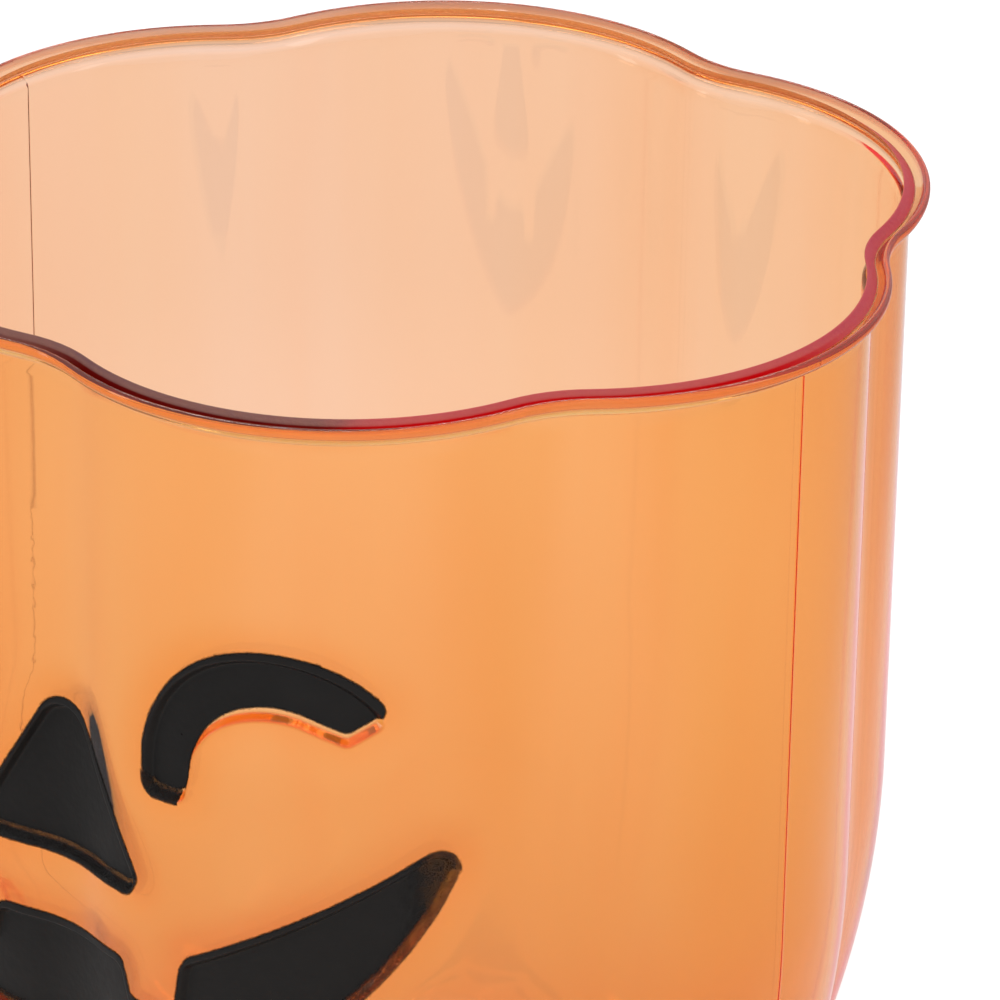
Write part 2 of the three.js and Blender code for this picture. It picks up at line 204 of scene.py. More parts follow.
def nose_outline():
    floor = NOSE_TOP - NOSE_HEIGHT
    return rounded_outline([
        (0, NOSE_TOP, NOSE_TOP_RADIUS),
        (-NOSE_HALF_WIDTH, floor, NOSE_CORNER_RADIUS),
        (NOSE_HALF_WIDTH, floor, NOSE_CORNER_RADIUS),
    ])


EYE_CENTRE = (21.9, -34.0)
EYE_RISE = 11.8
EYE_INNER_REACH = 10.9
EYE_OUTER_REACH = 11.8
EYE_LEG_WIDTH = 3.2
EYE_LEG_DROP = 1.8
EYE_LEG_RADIUS = 0.8
EYE_HOLLOW = (22.4, -33.6)
EYE_HOLLOW_RADII = (7.7, 7.0)
EYE_HOLLOW_END = math.radians(72)
EYE_CUT_ANGLE = math.radians(36.5)
EYE_CUT = (2.7, 1.6)
EYE_TIP_RADIUS = 0.4
EYE_TIP_RUN = 1.5


def eye_outline():
    left = EYE_CENTRE[0] - EYE_INNER_REACH
    bottom = EYE_CENTRE[1] - EYE_LEG_DROP
    brow_x = EYE_CENTRE[0] + EYE_OUTER_REACH * math.cos(EYE_CUT_ANGLE)
    brow_y = EYE_CENTRE[1] + EYE_RISE * math.sin(EYE_CUT_ANGLE)
    start = EYE_CUT_ANGLE + EYE_TIP_RUN / EYE_OUTER_REACH
    outer_radii = (EYE_OUTER_REACH, EYE_RISE)
    inner_radii = (EYE_INNER_REACH, EYE_RISE)
    return rounded_outline([
        (brow_x, brow_y, EYE_TIP_RADIUS),
        *ellipse_corners(EYE_CENTRE, outer_radii, start, math.pi / 2),
        *ellipse_corners(EYE_CENTRE, inner_radii, math.pi / 2, math.pi)[1:],
        (left, bottom, EYE_LEG_RADIUS),
        (left + EYE_LEG_WIDTH, bottom, EYE_LEG_RADIUS),
        *ellipse_corners(EYE_HOLLOW, EYE_HOLLOW_RADII, math.pi, EYE_HOLLOW_END),
        (brow_x - EYE_CUT[0], brow_y - EYE_CUT[1], EYE_TIP_RADIUS),
    ])


MOUTH_BOTTOM = -63.85
MOUTH_RADIUS = 42.6
MOUTH_OPENING = 9.6
MOUTH_ROOF_HALF = 7.0
MOUTH_TIP_RADIUS = 1.1
MOUTH_TIP_RUN = 6.4
TOOTH_WIDTH = 5.8
TOOTH_LENGTH = 3.5
TOOTH_SPLAY = 1.0
TOOTH_RADIUS = 0.8
ARM_OPENING = 12.1
ARM_RISE = math.radians(28.6)


def mouth_outline():
    roof = MOUTH_BOTTOM + MOUTH_OPENING
    centre_y = MOUTH_BOTTOM + MOUTH_RADIUS
    slope = math.tan(ARM_RISE)
    tooth_left = MOUTH_ROOF_HALF + TOOTH_SPLAY
    tooth_right = tooth_left + TOOTH_WIDTH
    foot_x = tooth_right + TOOTH_SPLAY
    foot_y = MOUTH_BOTTOM + ARM_OPENING
    lift = foot_y - centre_y - foot_x * slope
    square = 1 + slope**2
    tip_x = (math.sqrt(square * MOUTH_RADIUS**2 - lift**2) - slope * lift) / square
    tip_y = foot_y + (tip_x - foot_x) * slope
    tip_angle = math.atan2(tip_y - centre_y, tip_x) - MOUTH_TIP_RUN / MOUTH_RADIUS
    right_top = [
        (tip_x, tip_y, MOUTH_TIP_RADIUS),
        (foot_x, foot_y, TOOTH_RADIUS),
        (tooth_right, roof - TOOTH_LENGTH, TOOTH_RADIUS),
        (tooth_left, roof - TOOTH_LENGTH, TOOTH_RADIUS),
        (MOUTH_ROOF_HALF, roof, TOOTH_RADIUS),
    ]
    left_top = [(-x, y, radius) for x, y, radius in reversed(right_top)]
    radii = (MOUTH_RADIUS, MOUTH_RADIUS)
    lower_lip = ellipse_corners((0, centre_y), radii, -math.pi - tip_angle, tip_angle)
    return rounded_outline([*lower_lip, *right_top, *left_top])


right_eye = eye_outline()
left_eye = (right_eye * [-1, 1])[::-1]
OUTLINES = {
    "right_eye": right_eye,
    "left_eye": left_eye,
    "nose": nose_outline(),
    "mouth": mouth_outline(),
}


def signed_distance(points, outline):
    """Distance from a closed line, below nought inside it."""
    result = np.empty(len(points))
    start = outline
    run = np.roll(outline, -1, axis=0) - start
    length = (run**2).sum(1)
    for first in range(0, len(points), 2000):
        p = points[first:first + 2000, None]
        share = np.clip(((p - start) * run).sum(2) / length, 0, 1)
        gap = p - start - share[..., None] * run
        nearest = np.sqrt((gap**2).sum(2).min(1))
        above = start[:, 1] > p[..., 1]
        crosses = above != (np.roll(start[:, 1], -1) > p[..., 1])
        steep = np.where(run[:, 1] == 0, 1, run[:, 1])
        hit = start[:, 0] + (p[..., 1] - start[:, 1]) / steep * run[:, 0]
        inside = (crosses & (p[..., 0] < hit)).sum(1) % 2 == 1
        result[first:first + 2000] = np.where(inside, -nearest, nearest)
    return result


def nearest_outline(points):
    return np.min([signed_distance(points, line) for line in OUTLINES.values()], axis=0)


# The sunk panels: a floor and a steep bevel outside, and inside the cup a shallow, wide
# swelling of the same form, because blown plastic rounds off over what presses into it
PANEL_DEPTH = 0.8
PANEL_BEVEL = 0.5
FLOOR_SOFTNESS = 0.1
EDGE_SOFTNESS = 0.12
INNER_DEPTH = 0.65
INNER_GROWTH = -2.4
INNER_BEVEL = 6.0
INNER_SOFTNESS = 1.4


def soft_ramp(value, softness):
    bend = (value + softness) ** 2 / (4 * softness)
    return np.where(value < -softness, 0, np.where(value > softness, value, bend))


def panel_depth(distance):
    top = soft_ramp(PANEL_BEVEL - distance, EDGE_SOFTNESS)
    return PANEL_DEPTH / PANEL_BEVEL * (top - soft_ramp(-distance, FLOOR_SOFTNESS))


def inner_depth(distance):
    moved = distance - INNER_GROWTH
    top = soft_ramp(INNER_BEVEL - moved, INNER_SOFTNESS)
    return INNER_DEPTH / INNER_BEVEL * (top - soft_ramp(-moved, INNER_SOFTNESS))


def outer_face_point(flat):
    angle = angle_at(flat[:, 0])
    height = CUP_HEIGHT + flat[:, 1]
    depth = panel_depth(nearest_outline(flat))[:, None]
    return skin_point(angle, height) - skin_normal(angle, height) * depth


def inner_face_point(flat):
    angle = angle_at(flat[:, 0])
    height = CUP_HEIGHT + flat[:, 1]
    inset = inner_inset(angle, height)
    depth = inner_depth(nearest_outline(flat))[:, None]
    return skin_point(angle, height, inset) - skin_normal(angle, height) * depth


def ring_chains(outline, growths):
    """Lines that run round an outline at some distances, as chains of points."""
    chains = []
    run = np.roll(outline, -1, axis=0) - np.roll(outline, 1, axis=0)
    outward = np.stack([run[:, 1], -run[:, 0]], 1) / np.linalg.norm(run, axis=1)[:, None]
    if signed_distance(outline[:1] + outward[:1] * 0.05, outline)[0] < 0:
        outward = -outward
    for growth in growths:
        moved = outline + outward * growth
        good = np.abs(signed_distance(moved, outline) - growth) < 0.03
        chain = [tuple(p) if ok else None for p, ok in zip(moved, good)]
        chains.append(chain)
    return chains


def laid_out(border, chains, fill, place, border_ids, vertices, faces, flipped=False):
    """Fills a flat region with triangles that keep its border and its chains of points,
    and adds them to a mesh, with each new point put where place says. Returns the flat
    triangles, for the paint that lies on them."""
    points = [Vector(p) for p in border]
    count = len(points)
    edges = [(i, (i + 1) % count) for i in range(count)]
    for chain in chains:
        ids = []
        for p in chain:
            if p is None:
                ids.append(None)
                continue
            ids.append(len(points))
            points.append(Vector(p))
        for a, b in zip(ids, ids[1:] + ids[:1]):
            if a is not None and b is not None:
                edges.append((a, b))
    points.extend(Vector(p) for p in fill)
    flat, _, triangles, origins, _, _ = delaunay_2d_cdt(points, edges, [], 0, 1e-5, True)
    flat = np.array([tuple(p) for p in flat])
    placed = place(flat)
    ids = np.empty(len(flat), int)
    for index, origin in enumerate(origins):
        on_border = [o for o in origin if o < count]
        if on_border:
            ids[index] = border_ids[on_border[0]]
        else:
            ids[index] = len(vertices)
            vertices.append(placed[index])
    for a, b, c in triangles:
        face = (ids[a], ids[b], ids[c])
        faces.append(face[::-1] if flipped else face)
    return flat, np.array(triangles), ids


# Columns run round the cup, closer together beside the two parting seams
COLUMN_STEP = 1.2
SEAM_HALF_WIDTHS = (0.3, 0.13, 0.07)
SEAM_HEIGHT = 0.08
FACE_HALF_WIDTH = 42.0
FACE_TOP = 16.0
FACE_BOTTOM = 67.0

half_count = round(half_way_round / COLUMN_STEP)
column_step = half_way_round / half_count
column_distances = column_step * np.arange(-half_count + 1, half_count + 1)
seam_distance = distance_at(np.array([math.pi / 2]))[0]
for side in (-1, 1):
    clear = np.abs(column_distances - side * seam_distance) > column_step * 0.6
    column_distances = column_distances[clear]
    extra = [side * seam_distance + o for w in SEAM_HALF_WIDTHS for o in (-w, w)]
    column_distances = np.append(column_distances, [*extra, side * seam_distance])
column_distances.sort()
column_angles = angle_at(column_distances)
column_count = len(column_angles)
from_seam = np.abs(np.abs(column_distances) - seam_distance)
seam_lift = SEAM_HEIGHT * (1 - smooth(from_seam, 0, SEAM_HALF_WIDTHS[1]))

# Rows run down the inside from the mouth, or down the outside. Heights are per column.
ROW_STEP = 1.2
face_first = round((FACE_TOP - (CUP_HEIGHT - WALL_TOP)) / ROW_STEP)
face_last = round((FACE_BOTTOM - (CUP_HEIGHT - WALL_TOP)) / ROW_STEP)
straight_steps = round((WALL_TOP - WALL_FOOT) / ROW_STEP)
bowl_steps = round(bowl_radius * heel_angle / ROW_STEP)
heel_steps = 16
dome_steps = 14
FOOT_STEPS = 3


def side_heights(inset):
    wall = np.linspace(WALL_TOP, WALL_FOOT, straight_steps + 1)
    turns = heel_angle * np.arange(1, bowl_steps + 1) / bowl_steps
    bowl = WALL_FOOT - (bowl_radius - inset) * np.sin(turns)
    turns = heel_angle + (math.pi / 2 - heel_angle) * np.arange(1, heel_steps + 1) / heel_steps
    heel = HEEL_RADIUS - (HEEL_RADIUS - inset) * np.sin(turns)
    return np.concatenate([wall, bowl, heel])


vertices = []
faces = []
row_ids = {}


def add_row(name, points):
    row_ids[name] = np.arange(len(vertices), len(vertices) + len(points))
    vertices.extend(points)


def join_rows(upper, lower, skipped=()):
    """Faces between two rows, looking out of the plastic, apart from skipped columns."""
    for a in range(column_count):
        b = (a + 1) % column_count
        if a in skipped:
            continue
        faces.append((upper[a], lower[a], lower[b], upper[b]))


# The lip, as (reach from the crest radius, drop from the mouth): up the inside, with a
# hollow under the trimmed tip, down the sloping cut face to a groove, then the moulded
# edge, which flares up and out, rolls over and comes back to the wall
TIP_INSET = 1.05
CUT_START = (-0.95, 0.06)
CUT_RUN = (0.8, 0.57)
CUT_STEPS = 6
GROOVE = (-0.06, 0.7)
ROLL_CENTRE = (0.9, 0.5)
ROLL_RADII = (0.37, 0.48)
lip_inside = [(-1.22, 2.05), (-1.14, 1.9), (-0.98, 1.7), (-0.78, 1.5), (-0.64, 1.32)]
lip_inside += [(-0.58, 1.15), (-0.6, 1.0), (-0.7, 0.84), (-0.82, 0.68), (-0.94, 0.5)]
lip_inside += [(-1.03, 0.32), (-1.08, 0.16), (-1.09, 0.04)]
lip_cut = [(-TIP_INSET, 0.0), CUT_START]
lip_cut += [
    (CUT_START[0] + CUT_RUN[0] * n / CUT_STEPS, CUT_START[1] + CUT_RUN[1] * n / CUT_STEPS)
    for n in range(1, CUT_STEPS + 1)
]
lip_groove = [(-0.08, 0.68), GROOVE, (-0.02, 0.69)]
lip_face = [(0.06, 0.64), (0.3, 0.46), (0.5, 0.3), (0.62, 0.19)]
turns = np.radians(np.arange(-30, 91, 10))
lip_roll = [
    (ROLL_CENTRE[0] + ROLL_RADII[0] * math.sin(t), ROLL_CENTRE[1] - ROLL_RADII[1] * math.cos(t))
    for t in turns
]
lip_roll += [(1.26, 0.65), (1.22, 0.8), (1.14, 0.95)]
lip_under = [(0.9, 1.18), (0.6, 1.42), (0.3, 1.62), (0.03, 1.78), (-0.18, 1.9)]
lip_under += [(-0.33, 2.0), (-0.42, 2.1)]


def lip_row(reach, drop, lift=0.0):
    radius = (CREST_RADIUS + reach) * (1 - plan_notch(column_angles)) + lift
    height = np.full(column_count, CUP_HEIGHT - drop)
    return np.stack([radius * np.sin(column_angles), -radius * np.cos(column_angles), height], 1)


inner_heights = side_heights(WALL_THICKNESS)
outer_heights = side_heights(0.0)
order = []
dome_turns = math.acos((WALL_THICKNESS - dome_centre) / (dome_radius + WALL_THICKNESS))
dome_turns = dome_turns * np.arange(1, dome_steps + 1) / dome_steps
for index, turn in enumerate(dome_turns):
    radius = (dome_radius + WALL_THICKNESS) * math.sin(turn)
    height = dome_centre + (dome_radius + WALL_THICKNESS) * math.cos(turn)
    points = np.stack([
        radius * np.sin(column_angles),
        -radius * np.cos(column_angles),
        np.full(column_count, height),
    ], 1)
    add_row(("dome", index), points)
    order.append(("dome", index))
for index in range(len(inner_heights) - 1, -1, -1):
    height = np.full(column_count, inner_heights[index])
    add_row(("in", index), skin_point(column_angles, height, inner_inset(column_angles, height)))
    order.append(("in", index))
for index, (reach, drop) in enumerate(lip_inside):
    add_row(("lip inside", index), lip_row(reach, drop))
    order.append(("lip inside", index))
for index, (reach, drop) in enumerate(lip_cut):
    add_row(("cut", index), lip_row(reach, drop))
    order.append(("cut", index))
for index, (reach, drop) in enumerate(lip_groove + lip_face + lip_roll + lip_under):
    lift = seam_lift * 0.4 if reach > 0.9 or drop > 1 else 0 * seam_lift
    add_row(("lip", index), lip_row(reach, drop, lift))
    order.append(("lip", index))
for index, level in enumerate(outer_heights):
    height = np.full(column_count, level)
    points = skin_point(column_angles, height)
    fade = smooth(level, 2, 8)
    outward = np.stack([np.sin(column_angles), -np.cos(column_angles), 0 * column_angles], 1)
    add_row(("out", index), points + outward * (seam_lift * fade)[:, None])
    order.append(("out", index))
for index in range(1, FOOT_STEPS + 1):
    radius = FOOT_RADIUS - FOOT_WIDTH * index / FOOT_STEPS
    points = np.stack([
        radius * np.sin(column_angles),
        -radius * np.cos(column_angles),
        np.zeros(column_count),
    ], 1)
    add_row(("foot", index), points)
    order.append(("foot", index))

face_columns = [
    c for c in range(column_count - 1)
    if column_distances[c] > -FACE_HALF_WIDTH and column_distances[c + 1] < FACE_HALF_WIDTH
]
first_column = face_columns[0]
last_column = face_columns[-1] + 1
face_set = set(face_columns)
for before, after in zip(order, order[1:]):
    on_skin = before[0] == after[0] and before[0] in ("in", "out")
    level = min(before[1], after[1])
    in_face = on_skin and face_first <= level < face_last
    join_rows(row_ids[before], row_ids[after], face_set if in_face else ())

# The middle of the base inside
vertices.append(np.array([0, 0, PUSH_UP + WALL_THICKNESS]))
pole = len(vertices) - 1
first_dome = row_ids["dome", 0]
for a in range(column_count):
    faces.append((pole, first_dome[a], first_dome[(a + 1) % column_count]))


# The sunk face, outside and inside
def face_border(skin):
    """The face region's border on a skin: flat points and the mesh's own vertices."""
    flat = []
    ids = []
    heights = outer_heights
    span = range(first_column, last_column)
    walk = [(face_last, c) for c in span]
    walk += [(r, last_column) for r in range(face_last, face_first, -1)]
    walk += [(face_first, c) for c in reversed(range(first_column + 1, last_column + 1))]
    walk += [(r, first_column) for r in range(face_first, face_last)]
    for row, column in walk:
        flat.append((column_distances[column], heights[row] - CUP_HEIGHT))
        ids.append(row_ids[skin, row][column])
    return flat, ids


def face_fill(step, near, far):
    """Points that fill the face region, clear of the lines round the outlines."""
    low = (column_distances[first_column], outer_heights[face_last] - CUP_HEIGHT)
    high = (column_distances[last_column], outer_heights[face_first] - CUP_HEIGHT)
    across = np.arange(low[0] + step * 0.75, high[0] - step * 0.4, step)
    down = np.arange(low[1] + step * 0.75, high[1] - step * 0.4, step)
    x, y = np.meshgrid(across, down)
    x = x + step / 2 * (np.arange(len(down)) % 2)[:, None] * (x < high[0] - step)
    points = np.stack([x.ravel(), y.ravel()], 1)
    gap = nearest_outline(points)
    return points[(gap > far) | (gap < near)]


# Lines at these distances from the outlines keep the bevels sharp in the outer mesh
outer_rings = (-0.6, -0.3, -0.1, -0.04, 0.04, 0.1, 0.22, 0.33, 0.4, 0.5, 0.6, 0.7, 1.0)
chains = []
for outline in OUTLINES.values():
    chains += ring_chains(outline, outer_rings)
border, border_ids = face_border("out")
fill = face_fill(1.1, -0.7, 1.8)
flat_points, flat_triangles, flat_ids = laid_out(
    border, chains, fill, outer_face_point, border_ids, vertices, faces
)
border, border_ids = face_border("in")
fill = face_fill(0.9, math.inf, math.inf)
laid_out(border, [], fill, inner_face_point, border_ids, vertices, faces, flipped=True)

# The base's outside: pushed up, with the rib of the pinched weld across it
WELD_HALF_LENGTH = 13.0
WELD_HALF_WIDTH = 0.6
WELD_HEIGHT = 0.6
WELD_END = 1.5
BASE_STEP = 1.2


def base_point(flat):
    radius = np.linalg.norm(flat, axis=1)
    dome = dome_centre + np.sqrt(dome_radius**2 - radius**2)
    across = np.abs(flat[:, 1]) / WELD_HALF_WIDTH
    ends = 1 - smooth(np.abs(flat[:, 0]), WELD_HALF_LENGTH - WELD_END, WELD_HALF_LENGTH)
    rib = WELD_HEIGHT * (1 - smooth(across, 0.35, 1.0)) * ends
    return np.stack([flat[:, 0], flat[:, 1], dome - rib], 1)


border_ids = list(row_ids["foot", FOOT_STEPS])
border = [(vertices[i][0], vertices[i][1]) for i in border_ids]
rib_run = np.arange(-WELD_HALF_LENGTH - 0.5, WELD_HALF_LENGTH + 0.6, 0.5)
chains = [
    [(x, side * across) for x in rib_run] + [None]
    for side in (-1, 1) for across in (0.66, 0.54, 0.45, 0.35, 0.24, 0.1)
]
fill = []
for radius in np.arange(BASE_STEP, dome_edge - BASE_STEP / 2, BASE_STEP):
    turns = np.linspace(0, 2 * math.pi, int(2 * math.pi * radius / BASE_STEP) + 1)[:-1]
    for turn in turns:
        p = (radius * math.cos(turn), radius * math.sin(turn))
        if abs(p[1]) > 1.1 or abs(p[0]) > WELD_HALF_LENGTH + 1:
            fill.append(p)
laid_out(border, chains, fill, base_point, border_ids, vertices, faces, flipped=True)


def make_mesh(name, points, polygons):
    mesh = bpy.data.meshes.new(name)
    scaled = (np.array(points) * MM).tolist()
    mesh.from_pydata(scaled, [], [tuple(int(i) for i in p) for p in polygons])
    mesh.validate()
    mesh.shade_smooth()
    piece = bpy.data.objects.new(name, mesh)
    bpy.context.scene.collection.objects.link(piece)
    return piece


# Where the spray paint lies, as a distance from its edge, below nought under the paint.
# It came slantwise from below through a mask, so it covers the floors and the bevels
# beside and above them, and thins out towards the lower edges and the smile's corners.
# The mask sat a little up and to one side, and the plastic beyond its edge stayed clear.
PAINT_CLIMB = 1.05
PAINT_GROWTH = 0.6
MASK_EDGE = 0.72
HAZE_ON_FLOOR = {"eye": -0.02, "nose": -0.01, "mouth": -0.04}
HAZE_ON_BEVEL = {"eye": -0.06, "nose": -0.09, "mouth": 0.01}
THIN_FROM = 27.0
THIN_TO = 36.0
THINNEST = -0.03
THINNING = 0.6
MASK_SHIFT = (0.3, 0.55)
NO_HAZE = 2.0


def paint_border(feature, flat):
    kind = feature.split("_")[-1]
    floor_gap = signed_distance(flat, OUTLINES[feature])
    sprayed = signed_distance(flat, OUTLINES[feature] + (0, PAINT_CLIMB)) - PAINT_GROWTH
    on_bevel = smooth(floor_gap, -0.05, 0.15)
    haze = HAZE_ON_FLOOR[kind] * (1 - on_bevel) + HAZE_ON_BEVEL[kind] * on_bevel
    if kind == "eye":
        haze += NO_HAZE * smooth(flat[:, 1], EYE_CENTRE[1] - 0.6, EYE_CENTRE[1] + 0.8)
        leg_side = EYE_CENTRE[0] - EYE_INNER_REACH + EYE_LEG_WIDTH
        haze += NO_HAZE * smooth(np.abs(flat[:, 0]), leg_side - 0.1, leg_side + 0.2)
    moved = signed_distance(flat, OUTLINES[feature] + MASK_SHIFT)
    mask_gap = np.minimum(floor_gap, moved) - MASK_EDGE
    border = np.maximum(mask_gap, np.minimum(sprayed, haze))
    if kind == "mouth":
        thin = THINNEST - THINNING * (1 - smooth(np.abs(flat[:, 0]), THIN_FROM, THIN_TO))
        border = np.maximum(border, thin)
    return border


paint_borders = {feature: paint_border(feature, flat_points) for feature in OUTLINES}
shell = make_mesh("cup_shell", vertices, faces)

# What the plastic's material needs to know of each place: the trimmed face, the groove
# beside it, which carries a line of painted shade, the rolled edge, which carries a layer
# of painted light, and the distance from the edge of the paint
GROOVE_ROWS = len(lip_groove + lip_face) + 4
FAR_FROM_PAINT = 1.0
cut_share = np.zeros(len(vertices))
groove_shade_share = np.zeros(len(vertices))
roll_share = np.zeros(len(vertices))
for index, (reach, drop) in enumerate(lip_cut):
    cut_share[row_ids["cut", index]] = 1
    groove_shade_share[row_ids["cut", index]] = smooth(reach, -0.6, -0.4)
for index, (reach, drop) in enumerate(lip_groove + lip_face + lip_roll):
    if index < GROOVE_ROWS:
        groove_shade_share[row_ids["lip", index]] = 1 - smooth(reach, 0.62, 0.92)
    roll_share[row_ids["lip", index]] = smooth(reach, 0.85, 1.0)
paint_edge = np.full(len(vertices), FAR_FROM_PAINT)
nearest_paint = np.min(list(paint_borders.values()), axis=0)
paint_edge[flat_ids] = np.minimum(FAR_FROM_PAINT, nearest_paint)
for name, share in (
    ("cut", cut_share), ("groove", groove_shade_share), ("roll", roll_share), ("edge", paint_edge)
):
    layer = shell.data.attributes.new(name, "FLOAT", "POINT")
    layer.data.foreach_set("value", share)


class Shade:
    """A socket of a material. Sums and products on it add Math nodes."""

    def __init__(self, tree, socket=None):
        self.tree = tree
        self.socket = socket

    def node(self, kind, settings=(), inputs=(), output=0):
        """Adds a node, sets it up, fills its sockets and wraps one of its outputs."""
        made = self.tree.nodes.new(kind)
        for name, value in dict(settings).items():
            if name == "stops":
                for stop, (place, colour) in zip(made.color_ramp.elements, value):
                    stop.position = place
                    stop.color = colour
            else:
                setattr(made, name, value)
        for name, value in dict(inputs).items():
            if isinstance(value, Shade):
                self.tree.links.new(value.socket, made.inputs[name])
            else:
                made.inputs[name].default_value = value
        return Shade(self.tree, made.outputs[output] if made.outputs else None)

    def maths(self, operation, first, second=0.0):
        return self.node("ShaderNodeMath", {"operation": operation}, {0: first, 1: second})

    def __add__(self, other):
        return self.maths("ADD", self, other)

    def __sub__(self, other):
        return self.maths("SUBTRACT", self, other)

    def __rsub__(self, other):
        return self.maths("SUBTRACT", other, self)

    def __mul__(self, other):
        return self.maths("MULTIPLY", self, other)

    __radd__ = __add__
    __rmul__ = __mul__


def new_material(name):
    material = bpy.data.materials.new(name)
    material.use_nodes = True
    material.node_tree.nodes.clear()
    return material, Shade(material.node_tree)


# Clear dyed plastic: the dye takes up blue and green and no red, so that light caught in
# the lip comes out crimson. The trimmed face is rough, the rolled edge has a thin diffuse
# layer whose colour is painted light for the light caught in the lip, and the rest is as
# moulded. The two directions point across the floor from the cup's middle: one to the right
# of the face's front, and one square to it.
DYE_DENSITY = 1300.0
DYE_COLOUR = (1.0, 0.706, 0.222, 1)
FRONT_RIGHT = (0.664, -0.748, 0)
BACK_RIGHT = (0.748, 0.664, 0)
plastic, shade = new_material("orange_plastic")
place = shade.node("ShaderNodeTexCoord", output="Object")
stretched = shade.node(
    "ShaderNodeMapping", {}, {"Vector": place, "Scale": (1, 1, 0.12)}
)
streaks = shade.node(
    "ShaderNodeTexNoise", {}, {"Vector": stretched, "Scale": 220, "Detail": 2}
)
grain = shade.node("ShaderNodeTexNoise", {}, {"Vector": place, "Scale": 2600, "Detail": 3})
patches = shade.node("ShaderNodeTexNoise", {}, {"Vector": place, "Scale": 130, "Detail": 3})
cut_mask = shade.node("ShaderNodeAttribute", {"attribute_name": "cut"}, output="Fac")
groove_shade_mask = shade.node("ShaderNodeAttribute", {"attribute_name": "groove"}, output="Fac")
roughness = 0.02 + streaks * 0.03 + cut_mask * (0.3 + grain * 0.25)
height = streaks * 0.03 + grain * cut_mask * 0.35
bump = shade.node(
    "ShaderNodeBump", {}, {"Height": height, "Distance": 0.0003, "Strength": 0.6}
)

# The plastic is yellower at the front right and pinker opposite. Low down it is darker and
# deeper orange: painted shade, for the shadowed floor seen through it.
toward = shade.node("ShaderNodeVectorMath", {"operation": "DOT_PRODUCT"}, {
    0: place, 1: FRONT_RIGHT
}, output=1)
across = shade.node("ShaderNodeVectorMath", {"operation": "DOT_PRODUCT"}, {
    0: place, 1: BACK_RIGHT
}, output=1)
near_side = shade.node("ShaderNodeMapRange", {"interpolation_type": "SMOOTHSTEP"}, {
    "Value": toward, "From Min": -0.025, "From Max": 0.025, "To Min": 0.0, "To Max": 1.0
})
tint = shade.node(
    "ShaderNodeMix", {"data_type": "RGBA"},
    {"Factor": near_side, 6: (1, 0.87, 1, 1), 7: (1, 1, 0.84, 1)}, output=2
)
tint = shade.node(
    "ShaderNodeMix", {"data_type": "RGBA", "blend_type": "MULTIPLY"},
    {"Factor": streaks, 6: tint, 7: (1, 0.95, 0.92, 1)}, output=2
)
right_side = shade.node("ShaderNodeMapRange", {"interpolation_type": "SMOOTHSTEP"}, {
    "Value": across, "From Min": 0.0, "From Max": 0.04, "To Min": 0.0, "To Max": 1.0
})
tint = shade.node(
    "ShaderNodeMix", {"data_type": "RGBA", "blend_type": "MULTIPLY"},
    {"Factor": right_side, 6: tint, 7: (1, 0.965, 0.87, 1)}, output=2
)
rise = shade.node("ShaderNodeSeparateXYZ", {}, {"Vector": place}, output="Z")
# Painted shade: darker and deeper orange towards the bottom
low = shade.node("ShaderNodeMapRange", {"interpolation_type": "SMOOTHSTEP"}, {
    "Value": rise, "From Min": 0.01, "From Max": 0.065, "To Min": 0.7, "To Max": 0.0
})
tint = shade.node(
    "ShaderNodeMix", {"data_type": "RGBA", "blend_type": "MULTIPLY"},
    {"Factor": low, 6: tint, 7: (0.92, 0.73, 0.36, 1)}, output=2
)
glass = shade.node("ShaderNodeBsdfPrincipled", {}, {
    "Base Color": tint,
    "Roughness": roughness,
    "IOR": 1.5,
    "Transmission Weight": 1.0,
    "Normal": bump,
})

# The trimmed face's colour is painted light and shade: brown at the front left, painted
# shade where the black face keeps light from coming up the wall, and crimson at the right,
# painted light carried up the dyed wall. It is almost clear at the back, and the groove
# beside it has a line of painted shade.
piped_light_side = shade.node("ShaderNodeMapRange", {"interpolation_type": "SMOOTHSTEP"}, {
    "Value": across + (patches - 0.5) * 0.02,
    "From Min": -0.01, "From Max": 0.002, "To Min": 0.0, "To Max": 1.0
})
front = shade.node("ShaderNodeMapRange", {"interpolation_type": "SMOOTHSTEP"}, {
    "Value": toward, "From Min": 0.022, "From Max": 0.034, "To Min": 0.0, "To Max": 1.0
})
away = shade.node("ShaderNodeMapRange", {"interpolation_type": "SMOOTHSTEP"}, {
    "Value": toward, "From Min": -0.035, "From Max": -0.005, "To Min": 1.0, "To Max": 0.0
})
sawn_painted_light = shade.node(
    "ShaderNodeMix", {"data_type": "RGBA"},
    {"Factor": piped_light_side, 6: (0.15, 0.05, 0.062, 1), 7: (0.52, 0.035, 0.065, 1)}, output=2
)
sawn = shade.node("ShaderNodeBsdfPrincipled", {}, {
    "Base Color": sawn_painted_light,
    "Roughness": 0.4 + grain * 0.2,
    "IOR": 1.5,
    "Specular IOR Level": 0.3,
    "Normal": bump,
})
# Painted shade: a dark red line, brighter red at the right, for light lost inside the lip
groove_shade_colour = shade.node(
    "ShaderNodeMix", {"data_type": "RGBA"},
    {"Factor": piped_light_side, 6: (0.12, 0.003, 0.002, 1), 7: (0.55, 0.002, 0.004, 1)}, output=2
)
groove_shade = shade.node("ShaderNodeBsdfPrincipled", {}, {
    "Base Color": groove_shade_colour,
    "Roughness": 0.3,
    "Specular IOR Level": 0.0,
})
body = shade.node("ShaderNodeMixShader", {}, {
    "Fac": cut_mask * (0.88 - away * 0.8), 1: glass, 2: sawn
})
body = shade.node("ShaderNodeMixShader", {}, {"Fac": groove_shade_mask * front, 1: body, 2: groove_shade})

